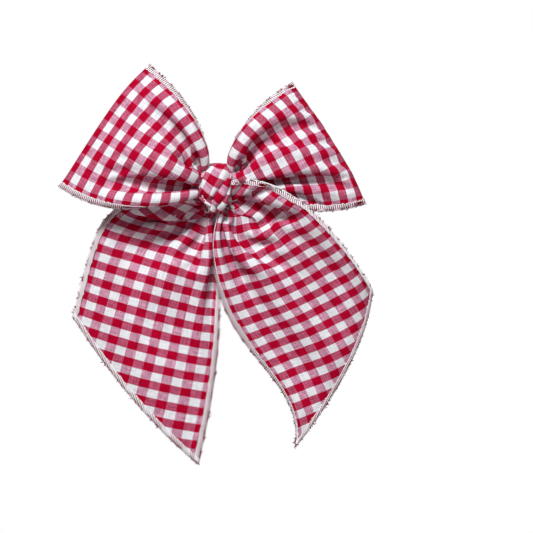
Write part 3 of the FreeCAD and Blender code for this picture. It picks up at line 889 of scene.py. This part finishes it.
GINGHAM = gingham_material()
THREADS = thread_material("overlock_thread", (0.92, 0.92, 0.96), (1.0, 1.0, 1.0))
SEWING = thread_material("sewing_thread", (0.70, 0.69, 0.68), (0.90, 0.89, 0.87), 0.45)
RED_YARN = thread_material("frayed_red", (0.07, 0.002, 0.02), (0.28, 0.02, 0.07), 0.9)
WHITE_YARN = thread_material("frayed_white", (0.60, 0.45, 0.55), (0.90, 0.90, 0.92), 0.9)


# --- Build the panels ---
def stand_in(obj, node, bodies):
    """Hides the CAD node that a piece stands for, and ties the piece to a body when one is named; a pair of
    bodies is not used, and the piece's placement is only baked into its mesh.
    """
    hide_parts(node)
    if isinstance(bodies, str):
        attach(obj, bodies)
    else:
        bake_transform(obj)


def sew_edge(name, node, edge, bodies):
    """Overlock stitches and frayed ends along an edge, given as (edge, inner, up, red)."""
    *lines, red = edge
    stand_in(overlock(name + "_stitches", *lines, THREADS), node, bodies)
    stand_in(tufts(name + "_red_ends", *lines, red, RED_YARN, 3.4), node, bodies)
    stand_in(tufts(name + "_white_ends", *lines, 1 - red, WHITE_YARN, 1.3), node, bodies)


def build_panel(name, cloth, sides, start, end):
    settled = settle(cloth, ROUNDS)
    if "base" in cloth:
        settled = calm(settled, cloth["base"], 0.3, 40)
    grid, flat = refine(settled), refine(cloth["flat"])
    bodies = ("bow_centre", name, start, end)
    rim = np.minimum(flat[..., 1], STRIP_WIDTH - flat[..., 1])
    if "end" in sides:
        rim = np.minimum(rim, flat[-1:, :, 0] - flat[..., 0])
    stand_in(sheet(name + "_cloth", grid, flat, CLOTH, GINGHAM, rim), name, bodies)
    for side in sides:
        sew_edge(f"{name}_{side}", name + "_edging", border(grid, flat, side), bodies)


# Each panel is given the start and end of its joint, in metres; they are passed along but nothing here makes
# the panel bend.
for name, start, end in (("left_loop", -0.008, -0.022), ("right_loop", 0.008, 0.022)):
    build_panel(name, loop_cloth(LOOPS[name]), ("low", "high"), (start, 0, 0), (end, 0, 0))
for name, start, end in (
    ("left_tail", (-0.004, 0, -0.006), (-0.012, 0, -0.026)),
    ("right_tail", (0.006, 0, 0.0), (0.022, 0, -0.022)),
):
    build_panel(name, tail_cloth(TAILS[name]), ("low", "high", "end"), start, end)


# --- Build the knot ---
BAND_THICKNESS = 0.6  # the wrap is folded double round the back
KNOT_STITCH = 1.9  # width of the stitches on the knot's front


def build_knot():
    pieces = {"band": knot_band(), "front": knot_front()}
    pieces.update(("fold_" + name, knot_fold(**fold)) for name, fold in KNOT_FOLDS.items())
    for name, (grid, strip_map) in pieces.items():
        thickness = BAND_THICKNESS if name == "band" else CLOTH
        piece = sheet("knot_" + name, grid, strip_map, thickness, GINGHAM)
        stand_in(piece, "knot_wrap", "bow_centre")
    band, front = pieces["band"][0], pieces["front"][0]
    stitched = front[: round(0.87 * len(front))]  # the rest of its edge sinks into the knot
    for name, grid, share in (("front", stitched, 1.0), ("left", band, 0.6), ("right", band[:, ::-1], 0.6)):
        edge = grid[:, 0]
        steps = np.linalg.norm(np.diff(grid, axis=1), axis=2).cumsum(1)
        whole = np.minimum((steps < KNOT_STITCH * share).sum(1), grid.shape[1] - 2) + 1
        inner = grid[np.arange(len(grid)), whole]
        up = unit(np.cross(np.gradient(edge, axis=0), inner - edge))
        up *= np.sign((up * (edge - [0.0, KNOT_Y, 0.0])).sum(1).mean())
        red = is_red(np.arange(len(edge)) * 0.4, CHECK_ALONG, 0.5).astype(float)
        sew_edge("knot_" + name, "knot_wrap_edging", (edge, inner, up, red), "bow_centre")


build_knot()


# --- Inside the knot ---
def extent(node):
    """A CAD node's lowest and highest corners, and its middle."""
    lowest, highest = (np.array(corner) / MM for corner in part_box(node))
    return lowest, highest, (lowest + highest) / 2


def waist_gather():
    """The pinched middle of the strip: tight pleats that flare towards both of its ends."""
    lowest, highest, middle = extent("waist_gather")
    pleats, rows = 14, 41
    columns = 12 * pleats
    x = np.linspace(lowest[0], highest[0], rows)[:, None]
    angle = np.linspace(0, math.tau, columns, endpoint=False)[None]
    flare = np.abs(x / highest[0]) ** 2
    wave = (0.35 + 0.3 * flare) * np.cos(pleats * angle + 0.4 * np.sin(3 * angle))
    reach = -1.3 + 0.7 * flare + wave
    depth = (highest[1] - middle[1] + reach) * np.sin(angle)
    rise = (highest[2] - middle[2] + reach) * np.cos(angle)
    rings = np.stack([x + 0 * depth, middle[1] + depth, middle[2] + rise], 2)
    faces = tube_faces(np.arange(rows * columns).reshape(rows, columns))
    girth = angle * STRIP_WIDTH / math.tau
    strip_map = np.stack([x + 0 * girth, girth + 0 * x], 2).reshape(-1, 2)
    corners = np.concatenate([np.array(f) for f in faces])
    maps = {"Strip": strip_map[corners], "Rim": np.full((len(corners), 2), STRIP_WIDTH)}
    return new_object("waist_pleats", rings.reshape(-1, 3), faces, maps, GINGHAM)


def wound_thread():
    """The thread that binds the gather: one close helix with a slightly uneven hand."""
    lowest, highest, middle = extent("binding_thread")
    turns = 9
    angle = np.linspace(0, math.tau * turns, turns * 48)
    share = np.linspace(-1, 1, len(angle))
    x = share * (highest[0] - 0.25) + 0.08 * np.sin(angle * 1.31)
    inset = 0.25 + 0.06 * np.cos(angle * 0.77)
    y = middle[1] + (highest[1] - middle[1] - inset) * np.sin(angle)
    path = np.stack([x, y, (highest[2] - middle[2] - inset) * np.cos(angle)], 1)
    ups = path - [0.0, middle[1], 0.0]
    return tubes("wound_thread", [path], [ups], 0.23, SEWING, sides=8)


HAND_STITCH_PITCH = 1.7
HAND_STITCH_HEIGHT = 27.0  # how far round the knot from its front the stitches are


def hand_stitches():
    """Small slanting stitches that dip into the wrap at both ends."""
    paths = []
    t = np.linspace(-1, 1, 9)
    for k in range(6):
        x = (k - 2.5) * HAND_STITCH_PITCH + 0.35 * t
        paths.append(on_knot(x, HAND_STITCH_HEIGHT + t, 0.35 - 0.75 * t**2))
    ups = [path - [0.0, KNOT_Y, 0.0] for path in paths]
    return tubes("hand_stitches", paths, ups, 0.2, SEWING, sides=8)


stand_in(waist_gather(), "waist_gather", "bow_centre")
stand_in(wound_thread(), "binding_thread", "bow_centre")
stand_in(hand_stitches(), "knot_stitches", "bow_centre")


# --- The clip ---
PLATE = 0.8  # thickness of the clip's arms
PIVOT = next(np.array(joint["pos_m"]) / MM for joint in frame["joints"] if joint["name"] == "clip_hinge")
TIP = extent("clip_moving_arm")[1][0]  # x of the clip's tip
ARM_AT_TIP = -PLATE - 0.75  # y of the front arm's inner face
ARM_AT_PIVOT = -5.9  # the same there
HANDLE = 14.0
HANDLE_RISE = 4.4  # how far the front handle stands off at its end
RIBBON_THICKNESS = 0.4
RIBBON_HALF_WIDTH = 3.7
WIRE = 0.3  # radius of the spring's wire


def lining_ribbon():
    """Ribbed ribbon along the front arm's outer face, turned round its tip."""
    lowest = extent("clip_lining")[0]
    slope = (ARM_AT_PIVOT - ARM_AT_TIP) / (TIP - PIVOT[0])
    clear = 0.03 + RIBBON_THICKNESS / 2

    outer, turn = -PLATE - clear, TIP + 0.02 + RIBBON_THICKNESS / 2
    # Along the ribbon: x, the x at which the arm's inner face is read, and how far from that face it lies.
    stops = [(lowest[0], lowest[0], outer), (TIP - 0.1, TIP, outer), (turn, TIP, -PLATE + 0.05)]
    stops += [(turn, TIP, -0.05), (TIP - 0.1, TIP, clear), (17.0, 17.0, clear)]
    path = [(x, ARM_AT_TIP + slope * (TIP - at) + off) for x, at, off in stops]
    rows, columns = 361, 13
    line = resample(np.array(path, float), np.linspace(0, 1, rows))[:, None]
    length = run(line[:, 0])[:, None]
    z = np.broadcast_to(np.linspace(-RIBBON_HALF_WIDTH, RIBBON_HALF_WIDTH, columns), (rows, columns))
    grid = np.stack([line[..., 0] + 0 * z, line[..., 1] + 0 * z, z], 2)
    grid = grid + normals(grid) * (0.05 * np.cos(math.tau * length / RIB_PITCH))[..., None]
    return sheet("lining_ribbon", grid, np.stack([length + 0 * z, z], 2), RIBBON_THICKNESS - 0.1, RIBBON)


def spring():
    """The torsion spring round the pin, with one leg under each handle."""
    turns, radius, leg = 3.5, 1.45, 8.5
    length = 0.7 * turns
    angle = np.linspace(math.pi / 2, math.pi / 2 - math.tau * turns, 180)
    share = np.linspace(-0.5, 0.5, 180)
    coil = np.stack([PIVOT[0] + radius * np.cos(angle), PIVOT[1] + radius * np.sin(angle), share * length], 1)
    back_leg = [PIVOT[0] - leg, -PLATE - WIRE - 0.1, -length / 2]
    front_leg = [PIVOT[0] - leg, ARM_AT_PIVOT - HANDLE_RISE * leg / HANDLE + WIRE + 0.25, length / 2]
    path = resample(np.concatenate([[back_leg], coil, [front_leg]]), np.linspace(0, 1, 420))
    ups = np.tile([0.0, 0.0, 1.0], (len(path), 1)) + 0.01 * path
    return tubes("spring_wire", [path], [ups], WIRE - 0.01, SPRING_STEEL, sides=12)


RIBBON = ribbon_material()
NICKEL = metal_material("nickel_plate", (0.78, 0.78, 0.79), 0.16, (300.0, 3000.0, 9000.0))
PIN_STEEL = metal_material("turned_pin", (0.6, 0.6, 0.62), 0.25, (2000.0, 2000.0, 9000.0))
SPRING_STEEL = metal_material("drawn_wire", (0.5, 0.5, 0.53), 0.3, (4000.0, 4000.0, 4000.0))
GLUE = glue_material()

stand_in(lining_ribbon(), "clip_lining", "bow_centre")
coil_front, coil_back = ((PIVOT[0] * MM, y * MM, 0) for y in (-5.2, -2.0))
spring_bodies = ("bow_centre", "clip_jaw", coil_front, coil_back)
stand_in(spring(), "clip_spring", spring_bodies)
finish = {"clip_fixed_arm": NICKEL, "clip_moving_arm": NICKEL, "clip_pivot_pin": PIN_STEEL, "glue_pad": GLUE}
for node, material in finish.items():
    for slot in frame["nodes"][node].material_slots:
        slot.material = material


# --- Stage ---
scene = bpy.context.scene
scene.view_settings.view_transform = "Standard"
AMBIENT = 0.13
KEY_POWER = 74.0
BACK_POWER = 14.0
FILL_POWER = 0.45
SQUARE_ON = math.radians(24)  # how far from square on the backdrop is still seen
CAMERA_DISTANCE = 1.5
FRAME_WIDTH = 0.2718
CAMERA_AIM = (0.0252, -0.012, -0.039)


def studio_world():
    """White to the camera, about half as bright in reflections, and a dim pink light on everything."""
    m = Nodes("studio", world=True)
    rays = m.add("ShaderNodeLightPath").outputs
    seen = m.math("MULTIPLY_ADD", rays["Is Glossy Ray"], 0.5, rays["Is Camera Ray"])
    colour = m.mix(seen, rgb(1.0, 0.78, 0.83), rgb(1.0, 1.0, 1.0))
    strength = m.span(seen, 0.0, 1.0, AMBIENT)
    return m.surface(m.add("ShaderNodeBackground", {"Color": colour, "Strength": strength}))


def area_light(name, location, aim, size, power):
    data = bpy.data.lights.new(name, "AREA")
    data.size = size
    data.energy = power
    obj = bpy.data.objects.new(name, data)
    obj.location = location
    obj.rotation_euler = (Vector(aim) - Vector(location)).to_track_quat("-Z", "Y").to_euler()
    scene.collection.objects.link(obj)


area_light("key", (-0.42, -1.9, 1.65), (0, 0, -0.05), 0.6, KEY_POWER)
area_light("back", (0.4, 1.2, 0.9), (0, 0, -0.03), 0.7, BACK_POWER)
area_light("fill", (0.7, -0.5, -0.1), (0, 0, -0.03), 0.7, FILL_POWER)


def plane(name, centre, size, turn, material):
    bpy.ops.mesh.primitive_plane_add(size=size, location=centre)
    obj = bpy.context.object
    obj.name = name
    obj.rotation_euler = (turn, 0, 0)
    obj.data.materials.append(material)


def floor_material():
    """A pale floor that throws little light back up into the folds."""
    m = Nodes("pale_floor")
    seen = m.add("ShaderNodeLightPath").outputs["Is Camera Ray"]
    colour = m.mix(seen, rgb(0.3, 0.22, 0.23), rgb(0.86, 0.87, 0.88))
    glow = m.times(seen, 0.35)
    return m.finish(colour, 0.7, Emission_Color=rgb(0.95, 0.97, 1.0), Emission_Strength=glow)


def backdrop_material():
    """White paper behind the bow, seen only nearly square on, so that it never hides the back or sides."""
    m = Nodes("pale_backdrop")
    lit = m.add("ShaderNodeEmission", {"Color": rgb(1, 1, 1), "Strength": 1.0})
    clear = m.add("ShaderNodeBsdfTransparent")
    ray = m.add("ShaderNodeNewGeometry").outputs["Incoming"]
    facing = m.add("ShaderNodeVectorMath", {0: ray, 1: (0, -1, 0)}, operation="DOT_PRODUCT").outputs["Value"]
    square = m.math("GREATER_THAN", facing, math.cos(SQUARE_ON))
    seen = m.times(square, m.add("ShaderNodeLightPath").outputs["Is Camera Ray"])
    return m.surface(m.add("ShaderNodeMixShader", {0: seen, 1: clear.outputs[0], 2: lit.outputs[0]}))


scene.world = studio_world()
plane("floor", (0, 0, -0.2), 4.0, 0, floor_material())
plane("backdrop", (0.02, 0.12, -0.04), 0.9, math.pi / 2, backdrop_material())

camera = bpy.data.objects.new("camera", bpy.data.cameras.new("camera"))
scene.collection.objects.link(camera)
camera.data.sensor_width = 36.0
camera.data.lens = camera.data.sensor_width * CAMERA_DISTANCE / FRAME_WIDTH
camera.location = (CAMERA_AIM[0], CAMERA_AIM[1] - CAMERA_DISTANCE, CAMERA_AIM[2])
camera.rotation_euler = (math.pi / 2, 0, 0)
scene.camera = camera
